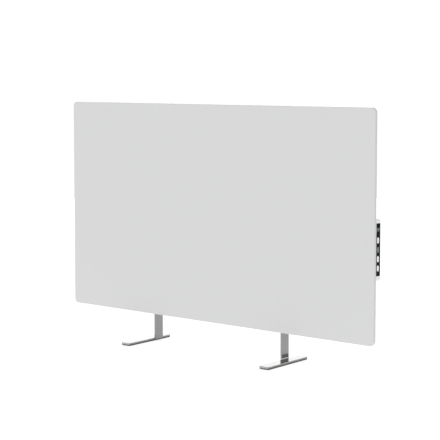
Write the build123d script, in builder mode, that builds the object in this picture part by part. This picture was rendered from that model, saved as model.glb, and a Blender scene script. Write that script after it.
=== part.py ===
from build123d import *
import os

# Glass panel heater on two bent steel legs, with a control unit on its back.
# Millimetres. The origin is on the floor, midway between the ends of the feet and in the middle of the
# panel's thickness. +X is the panel's right seen from the front, +Y goes to the back, +Z is up.

# Driving dimensions of the laminated panel
panel_width = 1000
panel_height = 565
panel_lift = 78
panel_corner_radius = 12
front_glass_thickness = 4
front_interlayer_thickness = 0.38
film_thickness = 0.24
rear_interlayer_thickness = 0.38
rear_glass_thickness = 3
glass_arris = 0.6
interlayer_setback = 0.4

# Driving dimensions of the heating film and its bus bars
film_margin = 20
feeder_margin = 48
film_clearance = 0.2
bus_bar_width = 8
bus_bar_thickness = 0.2
bus_bar_clearance = 0.1
feeder_inset = 30
feeder_gap = 4
pad_spacing = 10
lead_slot_width = 14
lead_slot_height = 44
lead_slot_drop = 5

# Driving dimensions of the bonded blocks and their inserts
block_width = 40
block_height = 76
block_thickness = 5
block_corner_radius = 6
block_edge_radius = 1
tape_thickness = 1
tape_margin = 2
insert_pitch = 50
insert_radius = 3.5
insert_thread_radius = 2.5
insert_length = 4.5
insert_clearance = 0.03
wall_block_inset = 200
wall_block_drop = 90

# Driving dimensions of the legs
leg_inset = 289
leg_stock = 4
leg_bend_radius = 2
leg_edge_break = 0.5
leg_relief = 1.5
foot_width = 30
foot_length = 167
foot_corner_radius = 5
foot_pad_thickness = 3.5
foot_pad_inset = 1
foot_pad_chamfer = 0.6
upright_width = 30
upright_top_radius = 14
flange_lift = 24
flange_width = 45
flange_height = 84
flange_corner_radius = 6
flange_hole_radius = 2.75

# Driving dimensions of the leg screws
leg_screw_head_radius = 4.75
leg_screw_head_height = 2.75
leg_screw_head_rim = 0.7
leg_screw_radius = 2.45
leg_screw_bite = 4
leg_screw_socket = 3
leg_screw_socket_depth = 1.6

# Driving dimensions of the control unit's housing
control_edge_inset = 6
control_width = 72
control_height = 147
control_depth = 28
control_drop = 55.5
control_corner_radius = 4
control_edge_radius = 1.2
control_tape_thickness = 1
control_tape_margin = 2
cover_wall = 2.2
cover_rim_gap = 0.6
cover_seam_depth = 0.6
cover_seam_width = 0.8
cover_seam_height = 4
vent_count = 7
vent_pitch = 4.5
vent_width = 2
vent_length = 14
vent_end_margin = 12
plate_recess_width = 44
plate_recess_height = 62
plate_recess_depth = 0.3
plate_recess_radius = 2
base_floor = 2
base_clearance = 0.2
base_lip_thickness = 1.4
base_lip_height = 4
window_width = 18
window_height = 66
window_lift = 4
boss_radius = 3.5
boss_inset_left = 8
boss_inset_right = 20
boss_inset_ends = 8
boss_height = 10
boss_clearance = 0.1
boss_pilot_depth = 8

# Driving dimensions of the cover screws and board screws
cover_screw_head_radius = 2.75
cover_screw_head_height = 2
cover_screw_recess = 0.5
cover_screw_recess_clearance = 0.25
cover_screw_radius = 1.45
cover_screw_hole_clearance = 0.25
thread_clearance = 0.05
cover_screw_bite = 6
screw_slot_width = 0.8
screw_slot_depth = 0.8
screw_head_chamfer_share = 0.33
board_screw_head_radius = 2
board_screw_head_height = 1.3
board_screw_radius = 0.95
board_screw_bite = 2.4

# Driving dimensions of the fascia, the buttons and their switches
fascia_width = 18
fascia_end_margin = 10.5
fascia_lift = 1.5
fascia_thickness = 1
fascia_corner_radius = 1.2
fascia_back_margin = 2.5
fascia_clearance = 0.1
button_pitch_share = 0.177
button_length = 14.5
button_width = 8
button_proud = 0.6
button_edge_radius = 0.4
button_clearance = 0.15
button_flange_margin = 1.4
button_flange_thickness = 1.2
button_play = 0.1
button_setback = 9.5
button_travel = 0.6
switch_size = 6
switch_height = 3.5
plunger_radius = 1.7
plunger_clearance = 0.06
plunger_proud = 1.5
plunger_hidden = 1.2
plunger_end_clearance = 0.4
display_height = 12
display_width = 11
display_clearance = 0.3
display_level_share = 0.371
lamp_length = 2
lamp_width = 1.2
lamp_height = 1.1
lamp_offset = 5

# Driving dimensions of the button board and its posts
button_board_thickness = 1
button_board_end_gap = 10.8
button_board_width = 17.5
button_board_lift = 1
board_post_size = 5
board_post_height = 12
board_post_clearance = 0.1
board_post_slot_clearance = 0.15
radio_length = 18
radio_width = 15
radio_height = 2.4
radio_drop_share = 0.05

# Driving dimensions of the control board and what stands on it
board_width = 30
board_end_gap = 11.3
board_thickness = 1.6
board_gap_left = 2.8
standoff_radius = 2.5
standoff_height = 3
standoff_inset = 3.5
supply_width = 20
supply_height = 32
supply_depth = 13.5
supply_lift_share = 0.237
supply_inset = 10.8
relay_width = 15.6
relay_height = 19.2
relay_depth = 11
relay_drop_share = 0.233
relay_inset = 20
fuse_radius = 2.6
fuse_length = 20
fuse_inset = 6
fuse_cap_length = 5
fuse_clip_height = 3
capacitor_radius = 4.5
capacitor_height = 13
capacitor_inset = 7
capacitor_drop_share = 0.042
capacitor_edge_radius = 0.8
mains_terminal_width = 14
mains_terminal_height = 12
mains_terminal_depth = 10
mains_terminal_drop_share = 0.415
mains_pole_pitch = 7.5
heater_terminal_width = 8.5
heater_terminal_height = 20
heater_terminal_depth = 11
terminal_screw_radius = 2
terminal_screw_depth = 1.5
ribbon_socket_length = 5.5
ribbon_socket_height = 10
ribbon_socket_depth = 4
ribbon_lift_share = 0.305
ribbon_height = 8
ribbon_thickness = 0.6
sensor_socket_size = 5
sensor_lift_share = 0.186

# Driving dimensions of the sensor, the cutout and the inner leads
sensor_radius = 2.5
sensor_height = 2.6
sensor_edge_radius = 1.2
cutout_width = 8
cutout_length = 16
cutout_thickness = 4
cutout_corner_radius = 1
lead_radius = 1.2
lead_bend_radius = 7
sensor_lead_radius = 0.7
sensor_lead_bend_radius = 4
lead_height = 7

# Driving dimensions of the cable inlet
inlet_inset = 18
inlet_bore_radius = 3.5
inlet_body_radius = 5
inlet_flange_radius = 7
inlet_flange_thickness = 2
inlet_sleeve_length = 8
inlet_sleeve_taper = 6
inlet_clearance = 0.1
inlet_nut_across_flats = 13
inlet_nut_height = 3
inlet_depth = 13
inlet_gap_width = 18

# Places that follow from the sizes above
panel_middle = panel_lift + panel_height / 2
panel_thickness = (
    front_glass_thickness
    + front_interlayer_thickness
    + film_thickness
    + rear_interlayer_thickness
    + rear_glass_thickness
)
front_face = -panel_thickness / 2
front_glass_back = front_face + front_glass_thickness
film_front = front_glass_back + front_interlayer_thickness
film_back = film_front + film_thickness
rear_glass_front = film_back + rear_interlayer_thickness
rear_face = rear_glass_front + rear_glass_thickness

control_right = panel_width / 2 - control_edge_inset
control_middle_x = control_right - control_width / 2
control_left = control_right - control_width
control_middle = panel_middle - control_drop
control_bottom = control_middle - control_height / 2
control_back = rear_face + control_depth
base_front = rear_face + control_tape_thickness
base_inside = base_front + base_floor
cover_inside_back = control_back - cover_wall
side_wall_inside = control_right - cover_wall

film_width = panel_width - film_margin - feeder_margin
film_height = panel_height - 2 * film_margin
film_middle_x = (film_margin - feeder_margin) / 2
film_left = film_middle_x - film_width / 2
feeder_x = panel_width / 2 - feeder_inset
lead_slot_middle = control_middle - lead_slot_drop


def across(y):
    """Sketch plane parallel to the glass at depth y: sketch x is X, sketch y is Z, and extrudes go forward."""
    return Plane(origin=(0, y, 0), x_dir=(1, 0, 0), z_dir=(0, -1, 0))


def finish(piece, name):
    """Labels a finished piece and writes it to its own file."""
    piece.label = name
    export_step(piece, f"parts/{name}.step")


# The glass panel: two panes with the film laminated between them
with BuildPart() as front_glass:
    with BuildSketch(across(front_face)):
        with Locations((0, panel_middle)):
            RectangleRounded(panel_width, panel_height, panel_corner_radius)
    extrude(amount=-front_glass_thickness)
    chamfer(front_glass.faces().sort_by(Axis.Y)[0].edges(), glass_arris)
finish(front_glass.part, "front_glass")

with BuildPart() as rear_glass:
    with BuildSketch(across(rear_glass_front)):
        with Locations((0, panel_middle)):
            RectangleRounded(panel_width, panel_height, panel_corner_radius)
        with Locations((feeder_x, lead_slot_middle)):
            SlotOverall(lead_slot_height, lead_slot_width, rotation=90, mode=Mode.SUBTRACT)
    extrude(amount=-rear_glass_thickness)
    rear_outline = rear_glass.faces().sort_by(Axis.Y)[-1].outer_wire()
    chamfer(rear_outline.edges(), glass_arris)
finish(rear_glass.part, "rear_glass")

interlayer_radius = panel_corner_radius - interlayer_setback
with BuildPart() as front_interlayer:
    with BuildSketch(across(front_glass_back)):
        with Locations((0, panel_middle)):
            RectangleRounded(
                panel_width - 2 * interlayer_setback,
                panel_height - 2 * interlayer_setback,
                interlayer_radius,
            )
    extrude(amount=-(front_interlayer_thickness + film_thickness))
    with BuildSketch(across(film_back)):
        with Locations((film_middle_x, panel_middle)):
            Rectangle(film_width + 2 * film_clearance, film_height + 2 * film_clearance)
    extrude(amount=film_thickness, mode=Mode.SUBTRACT)
finish(front_interlayer.part, "front_interlayer")

with BuildPart() as heating_film:
    with BuildSketch(across(film_front)):
        with Locations((film_middle_x, panel_middle)):
            Rectangle(film_width, film_height)
    extrude(amount=-film_thickness)
finish(heating_film.part, "heating_film")


def bus_bar_outline(side, growth):
    """Draws one L-shaped strip: along the film's edge, then down the margin to its pad in the lead slot.

    side is 1 for the upper bar and -1 for the lower one, and growth widens the outline all round.
    """
    bar_level = panel_middle + side * (film_height - bus_bar_width) / 2
    feeder_end = control_middle + side * feeder_gap / 2
    strip_width = bus_bar_width + 2 * growth
    with Locations(((film_left + feeder_x) / 2, bar_level)):
        Rectangle(feeder_x - film_left + strip_width, strip_width)
    with Locations((feeder_x, (bar_level + feeder_end) / 2)):
        Rectangle(strip_width, side * (bar_level - feeder_end) + 2 * growth)


for side, name in ((1, "upper_bus_bar"), (-1, "lower_bus_bar")):
    with BuildPart() as bus_bar:
        with BuildSketch(across(film_back)):
            bus_bar_outline(side, 0)
        extrude(amount=-bus_bar_thickness)
    finish(bus_bar.part, name)

with BuildPart() as rear_interlayer:
    with BuildSketch(across(film_back)):
        with Locations((0, panel_middle)):
            RectangleRounded(
                panel_width - 2 * interlayer_setback,
                panel_height - 2 * interlayer_setback,
                interlayer_radius,
            )
        with Locations((feeder_x, lead_slot_middle)):
            SlotOverall(lead_slot_height, lead_slot_width, rotation=90, mode=Mode.SUBTRACT)
    extrude(amount=-rear_interlayer_thickness)
    with BuildSketch(across(film_back)):
        bus_bar_outline(1, bus_bar_clearance)
        bus_bar_outline(-1, bus_bar_clearance)
    extrude(amount=-bus_bar_thickness, mode=Mode.SUBTRACT)
finish(rear_interlayer.part, "rear_interlayer")

# Blocks bonded to the rear glass: the lower pair carries the legs, the upper pair a wall bracket
block_front = rear_face + tape_thickness
block_back = block_front + block_thickness
leg_inner_face = panel_width / 2 - leg_inset
leg_block_x = leg_inner_face + flange_width - block_width / 2
leg_block_level = panel_lift + flange_lift + flange_height / 2
wall_block_x = panel_width / 2 - wall_block_inset
wall_block_level = panel_lift + panel_height - wall_block_drop
block_places = {
    "left_leg_block": (-leg_block_x, leg_block_level),
    "right_leg_block": (leg_block_x, leg_block_level),
    "left_wall_block": (-wall_block_x, wall_block_level),
    "right_wall_block": (wall_block_x, wall_block_level),
}
insert_places = [
    (x, level + side * insert_pitch / 2) for x, level in block_places.values() for side in (-1, 1)
]
leg_hole_places = insert_places[:4]

for name, place in block_places.items():
    with BuildPart() as block:
        with BuildSketch(across(block_front)):
            with Locations(place):
                RectangleRounded(block_width, block_height, block_corner_radius)
        extrude(amount=-block_thickness)
        fillet(block.faces().sort_by(Axis.Y)[-1].edges(), block_edge_radius)
        with BuildSketch(across(block_back)):
            with Locations(place):
                with GridLocations(0, insert_pitch, 1, 2):
                    Circle(insert_radius + insert_clearance)
        extrude(amount=insert_length, mode=Mode.SUBTRACT)
    finish(block.part, name)

with BuildPart() as block_tapes:
    with BuildSketch(across(rear_face)):
        with Locations(*block_places.values()):
            RectangleRounded(
                block_width - 2 * tape_margin,
                block_height - 2 * tape_margin,
                block_corner_radius - tape_margin,
            )
    extrude(amount=-tape_thickness)
finish(block_tapes.part, "block_tapes")

with BuildPart() as threaded_inserts:
    with BuildSketch(across(block_back)):
        with Locations(*insert_places):
            Circle(insert_radius)
            Circle(insert_thread_radius, mode=Mode.SUBTRACT)
    extrude(amount=insert_length)
finish(threaded_inserts.part, "threaded_inserts")

# Legs: one bar each, bent along the foot's inner edge and again at the fixing flange
foot_underside = foot_pad_thickness
foot_topside = foot_underside + leg_stock
bend_outer_radius = leg_bend_radius + leg_stock
flange_front = block_back
flange_back = flange_front + leg_stock
flange_bottom = panel_lift + flange_lift
flange_top = flange_bottom + flange_height
upright_front = flange_back
upright_back = upright_front + upright_width
bend_x = leg_inner_face + bend_outer_radius
bend_y = flange_front + bend_outer_radius
bend_level = foot_underside + bend_outer_radius
foot_middle_x = bend_x + foot_width / 2

with BuildPart() as right_leg:
    # Foot plate, whose inner edge is where the lower bend starts
    with BuildSketch(Plane.XY.offset(foot_underside)):
        with Locations((foot_middle_x, 0)):
            RectangleRounded(foot_width, foot_length, foot_corner_radius)
    extrude(amount=leg_stock)
    chamfer(right_leg.faces().filter_by(Axis.Z).edges(), leg_edge_break)
    # Upright, rising from the foot through the lower bend
    with BuildSketch(across(upright_front)):
        with BuildLine():
            Line((bend_x, foot_underside), (bend_x + leg_stock, foot_underside))
            Line((bend_x + leg_stock, foot_underside), (bend_x + leg_stock, foot_topside))
            Line((bend_x + leg_stock, foot_topside), (bend_x, foot_topside))
            CenterArc((bend_x, bend_level), leg_bend_radius, 270, -90)
            Line((leg_inner_face + leg_stock, bend_level), (leg_inner_face + leg_stock, flange_top))
            Line((leg_inner_face + leg_stock, flange_top), (leg_inner_face, flange_top))
            Line((leg_inner_face, flange_top), (leg_inner_face, bend_level))
            CenterArc((bend_x, bend_level), bend_outer_radius, 180, 90)
        make_face()
    extrude(amount=-upright_width)
    # Room for the upper bend, with a relief slit under the flange
    with BuildSketch(Plane.YZ.offset(leg_inner_face)):
        with Locations((bend_y, flange_top)):
            Rectangle(
                bend_y - upright_front,
                flange_height + leg_relief,
                align=(Align.MAX, Align.MAX),
            )
    extrude(amount=leg_stock, mode=Mode.SUBTRACT)
    upright_crown = right_leg.edges().filter_by(Axis.X).group_by(Axis.Z)[-1].sort_by(Axis.Y)[-1]
    fillet(upright_crown, upright_top_radius)
    # Fixing flange, parallel to the glass
    with BuildSketch(Plane.XY.offset(flange_bottom)):
        with BuildLine():
            Line((leg_inner_face, bend_y), (leg_inner_face + leg_stock, bend_y))
            CenterArc((bend_x, bend_y), leg_bend_radius, 180, 90)
            Line((bend_x, flange_back), (leg_inner_face + flange_width, flange_back))
            Line((leg_inner_face + flange_width, flange_back), (leg_inner_face + flange_width, flange_front))
            Line((leg_inner_face + flange_width, flange_front), (bend_x, flange_front))
            CenterArc((bend_x, bend_y), bend_outer_radius, 270, -90)
        make_face()
    extrude(amount=flange_height)
    flange_corners = right_leg.edges().filter_by(Axis.Y).group_by(Axis.X)[-1]
    fillet(flange_corners, flange_corner_radius)
    with BuildSketch(across(flange_back)):
        with Locations((leg_block_x, leg_block_level)):
            with GridLocations(0, insert_pitch, 1, 2):
                Circle(flange_hole_radius)
    extrude(amount=leg_stock, mode=Mode.SUBTRACT)
finish(right_leg.part, "right_leg")

with BuildPart() as left_leg:
    mirror(right_leg.part, about=Plane.YZ)
finish(left_leg.part, "left_leg")

for side, name in ((-1, "left_foot_pad"), (1, "right_foot_pad")):
    with BuildPart() as foot_pad:
        with BuildSketch():
            with Locations((side * foot_middle_x, 0)):
                RectangleRounded(
                    foot_width - 2 * foot_pad_inset,
                    foot_length - 2 * foot_pad_inset,
                    foot_corner_radius - foot_pad_inset,
                )
        extrude(amount=foot_pad_thickness)
        chamfer(foot_pad.faces().sort_by(Axis.Z)[0].edges(), foot_pad_chamfer)
    finish(foot_pad.part, name)

# Button-head screws that hold each leg's flange to its block
with BuildPart() as leg_screws:
    with BuildSketch(across(flange_back)):
        with Locations(*leg_hole_places):
            Circle(leg_screw_head_radius)
    extrude(amount=-leg_screw_head_height)
    fillet(leg_screws.faces().group_by(Axis.Y)[-1].edges(), leg_screw_head_height - leg_screw_head_rim)
    with BuildSketch(across(flange_back)):
        with Locations(*leg_hole_places):
            Circle(leg_screw_radius)
    extrude(amount=leg_stock + leg_screw_bite)
    with BuildSketch(across(flange_back + leg_screw_head_height)):
        with Locations(*leg_hole_places):
            RegularPolygon(leg_screw_socket / 2, 6, major_radius=False)
    extrude(amount=leg_screw_socket_depth, mode=Mode.SUBTRACT)
finish(leg_screws.part, "leg_screws")

# Places inside the control unit
button_y = control_back - fascia_back_margin - button_setback
fascia_y = control_back - fascia_back_margin - fascia_width / 2
fascia_height = control_height - 2 * fascia_end_margin
fascia_middle = control_middle + fascia_lift
button_pitch = fascia_height * button_pitch_share
button_flange_outside = side_wall_inside - button_play
button_flange_inside = button_flange_outside - button_flange_thickness
switch_top = button_flange_inside - plunger_proud
button_board_front = switch_top - switch_height
button_board_back = button_board_front - button_board_thickness
button_levels = {
    "power": fascia_middle + button_pitch,
    "status": fascia_middle,
    "plus": fascia_middle - button_pitch,
    "minus": fascia_middle - 2 * button_pitch,
}
display_level = fascia_middle + fascia_height * display_level_share
cavity_width = control_width - 2 * cover_wall
cavity_height = control_height - 2 * cover_wall
cavity_radius = control_corner_radius - cover_wall
board_height = cavity_height - 2 * board_end_gap
button_board_height = cavity_height - 2 * button_board_end_gap
boss_top = base_inside + boss_height
boss_x_left = control_left + boss_inset_left
boss_x_right = control_right - boss_inset_right
boss_offset = control_height / 2 - boss_inset_ends
boss_places = [
    (x, control_middle + side * boss_offset) for x in (boss_x_left, boss_x_right) for side in (-1, 1)
]
board_middle_x = control_left + cover_wall + board_gap_left + board_width / 2
board_left = board_middle_x - board_width / 2
board_right = board_middle_x + board_width / 2
board_back = base_inside + standoff_height + board_thickness
standoff_offset_x = board_width / 2 - standoff_inset
standoff_offset_z = board_height / 2 - standoff_inset
standoff_places = [
    (board_middle_x + i * standoff_offset_x, control_middle + k * standoff_offset_z)
    for i in (-1, 1)
    for k in (-1, 1)
]
button_board_y = base_inside + button_board_lift + button_board_width / 2
post_x = (button_board_front + button_board_back) / 2
post_offset = button_board_height / 2
inlet_x = control_left + inlet_inset
inlet_y = rear_face + inlet_depth
sensor_level = control_middle + board_height * sensor_lift_share

# Adhesive tape and base tray of the control unit
with BuildPart() as control_tape:
    with BuildSketch(across(rear_face)):
        with Locations((control_middle_x, control_middle)):
            RectangleRounded(
                cavity_width - 2 * control_tape_margin,
                cavity_height - 2 * control_tape_margin,
                cavity_radius,
            )
        with Locations((feeder_x, control_middle + window_lift)):
            Rectangle(
                window_width + 2 * control_tape_margin,
                window_height + 2 * control_tape_margin,
                mode=Mode.SUBTRACT,
            )
    extrude(amount=-control_tape_thickness)
finish(control_tape.part, "control_tape")

base_width = cavity_width - 2 * base_clearance
base_height = cavity_height - 2 * base_clearance
with BuildPart() as control_base:
    with BuildSketch(across(base_front)):
        with Locations((control_middle_x, control_middle)):
            RectangleRounded(base_width, base_height, cavity_radius)
    extrude(amount=-base_floor)
    # Lip that locates the cover, with a gap above the cable inlet
    with BuildSketch(across(base_inside)):
        with Locations((control_middle_x, control_middle)):
            RectangleRounded(base_width, base_height, cavity_radius)
            Rectangle(
                base_width - 2 * base_lip_thickness,
                base_height - 2 * base_lip_thickness,
                mode=Mode.SUBTRACT,
            )
    extrude(amount=-base_lip_height)
    with BuildSketch(across(base_inside)):
        with Locations((inlet_x, control_middle - base_height / 2)):
            Rectangle(inlet_gap_width, 2 * base_lip_thickness)
    extrude(amount=-base_lip_height, mode=Mode.SUBTRACT)
    # Bosses for the cover screws
    with BuildSketch(across(base_inside)):
        with Locations(*boss_places):
            Circle(boss_radius)
    extrude(amount=-boss_height)
    # Standoffs under the control board
    with BuildSketch(across(base_inside)):
        with Locations(*standoff_places):
            Circle(standoff_radius)
    extrude(amount=-standoff_height)
    # Two slotted posts that grip the ends of the button board
    with BuildSketch(across(base_inside)):
        with Locations((post_x, control_middle)):
            with GridLocations(0, 2 * post_offset, 1, 2):
                Rectangle(board_post_size, board_post_size)
    extrude(amount=-board_post_height)
    with BuildSketch(across(base_inside + button_board_lift)):
        with Locations((post_x, control_middle)):
            Rectangle(
                button_board_thickness + 2 * board_post_slot_clearance,
                button_board_height + 2 * board_post_clearance,
            )
    extrude(amount=-board_post_height, mode=Mode.SUBTRACT)
    # Pilot holes, and the window for the leads, the cutout and the sensor
    with BuildSketch(across(boss_top)):
        with Locations(*boss_places):
            Circle(cover_screw_radius + thread_clearance)
    extrude(amount=boss_pilot_depth, mode=Mode.SUBTRACT)
    with BuildSketch(across(base_inside + standoff_height)):
        with Locations(*standoff_places):
            Circle(board_screw_radius + thread_clearance)
    extrude(amount=standoff_height, mode=Mode.SUBTRACT)
    with BuildSketch(across(base_inside)):
        with Locations((feeder_x, control_middle + window_lift)):
            Rectangle(window_width, window_height)
    extrude(amount=base_floor, mode=Mode.SUBTRACT)
finish(control_base.part, "control_base")

# Moulded cover with the fascia's recess, the button openings and the screw wells
cover_front = rear_face + cover_rim_gap
cover_boss_length = cover_inside_back - boss_top - boss_clearance
cover_head_seat = control_back - cover_screw_recess - cover_screw_head_height
vent_middle_x = (boss_x_left + boss_x_right) / 2
vent_offset = control_height / 2 - vent_end_margin
with BuildPart() as control_cover:
    with BuildSketch(across(cover_front)):
        with Locations((control_middle_x, control_middle)):
            RectangleRounded(control_width, control_height, control_corner_radius)
    extrude(amount=-(control_back - cover_front))
    fillet(control_cover.faces().sort_by(Axis.Y)[-1].edges(), control_edge_radius)
    with BuildSketch(across(cover_front)):
        with Locations((control_middle_x, control_middle)):
            RectangleRounded(cavity_width, cavity_height, cavity_radius)
    extrude(amount=-(cover_inside_back - cover_front), mode=Mode.SUBTRACT)
    # Shadow groove round the rim
    with BuildSketch(across(cover_front + cover_seam_height)):
        with Locations((control_middle_x, control_middle)):
            RectangleRounded(control_width, control_height, control_corner_radius)
            RectangleRounded(
                control_width - 2 * cover_seam_depth,
                control_height - 2 * cover_seam_depth,
                control_corner_radius - cover_seam_depth,
                mode=Mode.SUBTRACT,
            )
    extrude(amount=-cover_seam_width, mode=Mode.SUBTRACT)
    # Bosses that meet those of the base, bored for the screws
    with BuildSketch(across(cover_inside_back)):
        with Locations(*boss_places):
            Circle(boss_radius)
    extrude(amount=cover_boss_length)
    with BuildSketch(across(control_back)):
        with Locations(*boss_places):
            Circle(cover_screw_head_radius + cover_screw_recess_clearance)
    extrude(amount=control_back - cover_head_seat, mode=Mode.SUBTRACT)
    with BuildSketch(across(control_back)):
        with Locations(*boss_places):
            Circle(cover_screw_radius + cover_screw_hole_clearance)
    extrude(amount=control_back - boss_top, mode=Mode.SUBTRACT)
    # Vents at both ends of the back, and a shallow bare recess between them
    with BuildSketch(across(control_back)):
        with Locations((vent_middle_x, control_middle)):
            with GridLocations(vent_pitch, 2 * vent_offset, vent_count, 2):
                SlotOverall(vent_length, vent_width, rotation=90)
    extrude(amount=cover_wall, mode=Mode.SUBTRACT)
    with BuildSketch(across(control_back)):
        with Locations((vent_middle_x, control_middle)):
            RectangleRounded(plate_recess_width, plate_recess_height, plate_recess_radius)
    extrude(amount=plate_recess_depth, mode=Mode.SUBTRACT)
    # Recess for the fascia, then the openings behind it
    with BuildSketch(Plane.YZ.offset(control_right)):
        with Locations((fascia_y, fascia_middle)):
            RectangleRounded(
                fascia_width + 2 * fascia_clearance,
                fascia_height + 2 * fascia_clearance,
                fascia_corner_radius + fascia_clearance,
            )
    extrude(amount=-fascia_thickness, mode=Mode.SUBTRACT)
    with BuildSketch(Plane.YZ.offset(control_right)):
        with Locations(*[(button_y, level) for level in button_levels.values()]):
            SlotOverall(
                button_length + 2 * button_clearance,
                button_width + 2 * button_clearance,
                rotation=90,
            )
        with Locations((button_y, display_level)):
            Rectangle(display_width + 2 * display_clearance, display_height + 2 * display_clearance)
    extrude(amount=-cover_wall, mode=Mode.SUBTRACT)
    # Hole in the lower wall for the cable inlet
    with BuildSketch(Plane.XY.offset(control_bottom)):
        with Locations((inlet_x, inlet_y)):
            Circle(inlet_body_radius + inlet_clearance)
    extrude(amount=cover_wall, mode=Mode.SUBTRACT)
finish(control_cover.part, "control_cover")

with BuildPart() as side_fascia:
    with BuildSketch(Plane.YZ.offset(control_right)):
        with Locations((fascia_y, fascia_middle)):
            RectangleRounded(fascia_width, fascia_height, fascia_corner_radius)
        with Locations(*[(button_y, level) for level in button_levels.values()]):
            SlotOverall(
                button_length + 2 * button_clearance,
                button_width + 2 * button_clearance,
                rotation=90,
                mode=Mode.SUBTRACT,
            )
    extrude(amount=-fascia_thickness)
finish(side_fascia.part, "side_fascia")


def slotted_screws(places, seat, head_radius, head_height, shank_radius, shank_length):
    """Pan-head screws with a plain slot, their heads on the plane at depth seat."""
    with BuildPart() as screws:
        with BuildSketch(across(seat)):
            with Locations(*places):
                Circle(head_radius)
        extrude(amount=-head_height)
        chamfer(
            screws.faces().group_by(Axis.Y)[-1].edges(),
            head_height * screw_head_chamfer_share,
        )
        with BuildSketch(across(seat)):
            with Locations(*places):
                Circle(shank_radius)
        extrude(amount=shank_length)
        with BuildSketch(across(seat + head_height)):
            with Locations(*places):
                Rectangle(2 * head_radius, screw_slot_width)
        extrude(amount=screw_slot_depth, mode=Mode.SUBTRACT)
    return screws.part


finish(
    slotted_screws(
        boss_places,
        cover_head_seat,
        cover_screw_head_radius,
        cover_screw_head_height,
        cover_screw_radius,
        cover_head_seat - boss_top + cover_screw_bite,
    ),
    "cover_screws",
)
finish(
    slotted_screws(
        standoff_places,
        board_back,
        board_screw_head_radius,
        board_screw_head_height,
        board_screw_radius,
        board_thickness + board_screw_bite,
    ),
    "board_screws",
)

# Buttons: an oval cap through the fascia, with a flange that stops it behind the wall
for name, level in button_levels.items():
    with BuildPart() as button:
        with BuildSketch(Plane.YZ.offset(button_flange_inside)):
            with Locations((button_y, level)):
                SlotOverall(
                    button_length + 2 * button_flange_margin,
                    button_width + 2 * button_flange_margin,
                    rotation=90,
                )
        extrude(amount=button_flange_thickness)
        with BuildSketch(Plane.YZ.offset(button_flange_outside)):
            with Locations((button_y, level)):
                SlotOverall(button_length, button_width, rotation=90)
        extrude(amount=control_right + button_proud - button_flange_outside)
        fillet(button.faces().sort_by(Axis.X)[-1].edges(), button_edge_radius)
    finish(button.part, f"{name}_button")

    with BuildPart() as plunger:
        with BuildSketch(Plane.YZ.offset(switch_top - plunger_hidden)):
            with Locations((button_y, level)):
                Circle(plunger_radius)
        extrude(amount=plunger_hidden + plunger_proud)
    finish(plunger.part, f"{name}_plunger")

with BuildPart() as switch_bodies:
    with BuildSketch(Plane.YZ.offset(button_board_front)):
        with Locations(*[(button_y, level) for level in button_levels.values()]):
            Rectangle(switch_size, switch_size)
    extrude(amount=switch_height)
    with BuildSketch(Plane.YZ.offset(switch_top)):
        with Locations(*[(button_y, level) for level in button_levels.values()]):
            Circle(plunger_radius + plunger_clearance)
    extrude(amount=-(plunger_hidden + button_travel + plunger_end_clearance), mode=Mode.SUBTRACT)
finish(switch_bodies.part, "switch_bodies")

# Button board with the display, the status lamp and the radio module
with BuildPart() as button_board:
    with BuildSketch(Plane.YZ.offset(button_board_back)):
        with Locations((button_board_y, control_middle)):
            Rectangle(button_board_width, button_board_height)
    extrude(amount=button_board_thickness)
finish(button_board.part, "button_board")

with BuildPart() as display_module:
    with BuildSketch(Plane.YZ.offset(button_board_front)):
        with Locations((button_y, display_level)):
            Rectangle(display_width, display_height)
    extrude(amount=control_right - fascia_thickness - button_play - button_board_front)
finish(display_module.part, "display_module")

with BuildPart() as status_lamp:
    with BuildSketch(Plane.YZ.offset(button_board_front)):
        with Locations((button_y, button_levels["status"] + lamp_offset)):
            Rectangle(lamp_width, lamp_length)
    extrude(amount=lamp_height)
finish(status_lamp.part, "status_lamp")

with BuildPart() as radio_module:
    with BuildSketch(Plane.YZ.offset(button_board_back)):
        with Locations((button_board_y, control_middle - button_board_height * radio_drop_share)):
            Rectangle(radio_width, radio_length)
    extrude(amount=-radio_height)
finish(radio_module.part, "radio_module")

# Control board and the parts that stand on it
with BuildPart() as control_board:
    with BuildSketch(across(base_inside + standoff_height)):
        with Locations((board_middle_x, control_middle)):
            Rectangle(board_width, board_height)
        with Locations(*standoff_places):
            Circle(board_screw_radius + thread_clearance, mode=Mode.SUBTRACT)
    extrude(amount=-board_thickness)
finish(control_board.part, "control_board")

with BuildPart() as power_supply:
    with BuildSketch(across(board_back)):
        with Locations((board_left + supply_inset, control_middle + board_height * supply_lift_share)):
            Rectangle(supply_width, supply_height)
    extrude(amount=-supply_depth)
finish(power_supply.part, "power_supply")

relay_level = control_middle - board_height * relay_drop_share
with BuildPart() as relay:
    with BuildSketch(across(board_back)):
        with Locations((board_left + relay_inset, relay_level)):
            Rectangle(relay_width, relay_height)
    extrude(amount=-relay_depth)
finish(relay.part, "relay")

fuse_x = board_left + fuse_inset
fuse_axis_y = board_back + fuse_clip_height
with BuildPart() as fuse:
    with BuildSketch(Plane.XY.offset(relay_level - fuse_length / 2)):
        with Locations((fuse_x, fuse_axis_y)):
            Circle(fuse_radius)
    extrude(amount=fuse_length)
finish(fuse.part, "fuse")

with BuildPart() as fuse_clips:
    with BuildSketch(across(board_back)):
        with Locations((fuse_x, relay_level)):
            with GridLocations(0, fuse_length - fuse_cap_length, 1, 2):
                Rectangle(2 * fuse_radius, fuse_cap_length)
    extrude(amount=-fuse_clip_height)
    with BuildSketch(Plane.XY.offset(relay_level - fuse_length / 2)):
        with Locations((fuse_x, fuse_axis_y)):
            Circle(fuse_radius + thread_clearance)
    extrude(amount=fuse_length, mode=Mode.SUBTRACT)
finish(fuse_clips.part, "fuse_clips")

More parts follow.
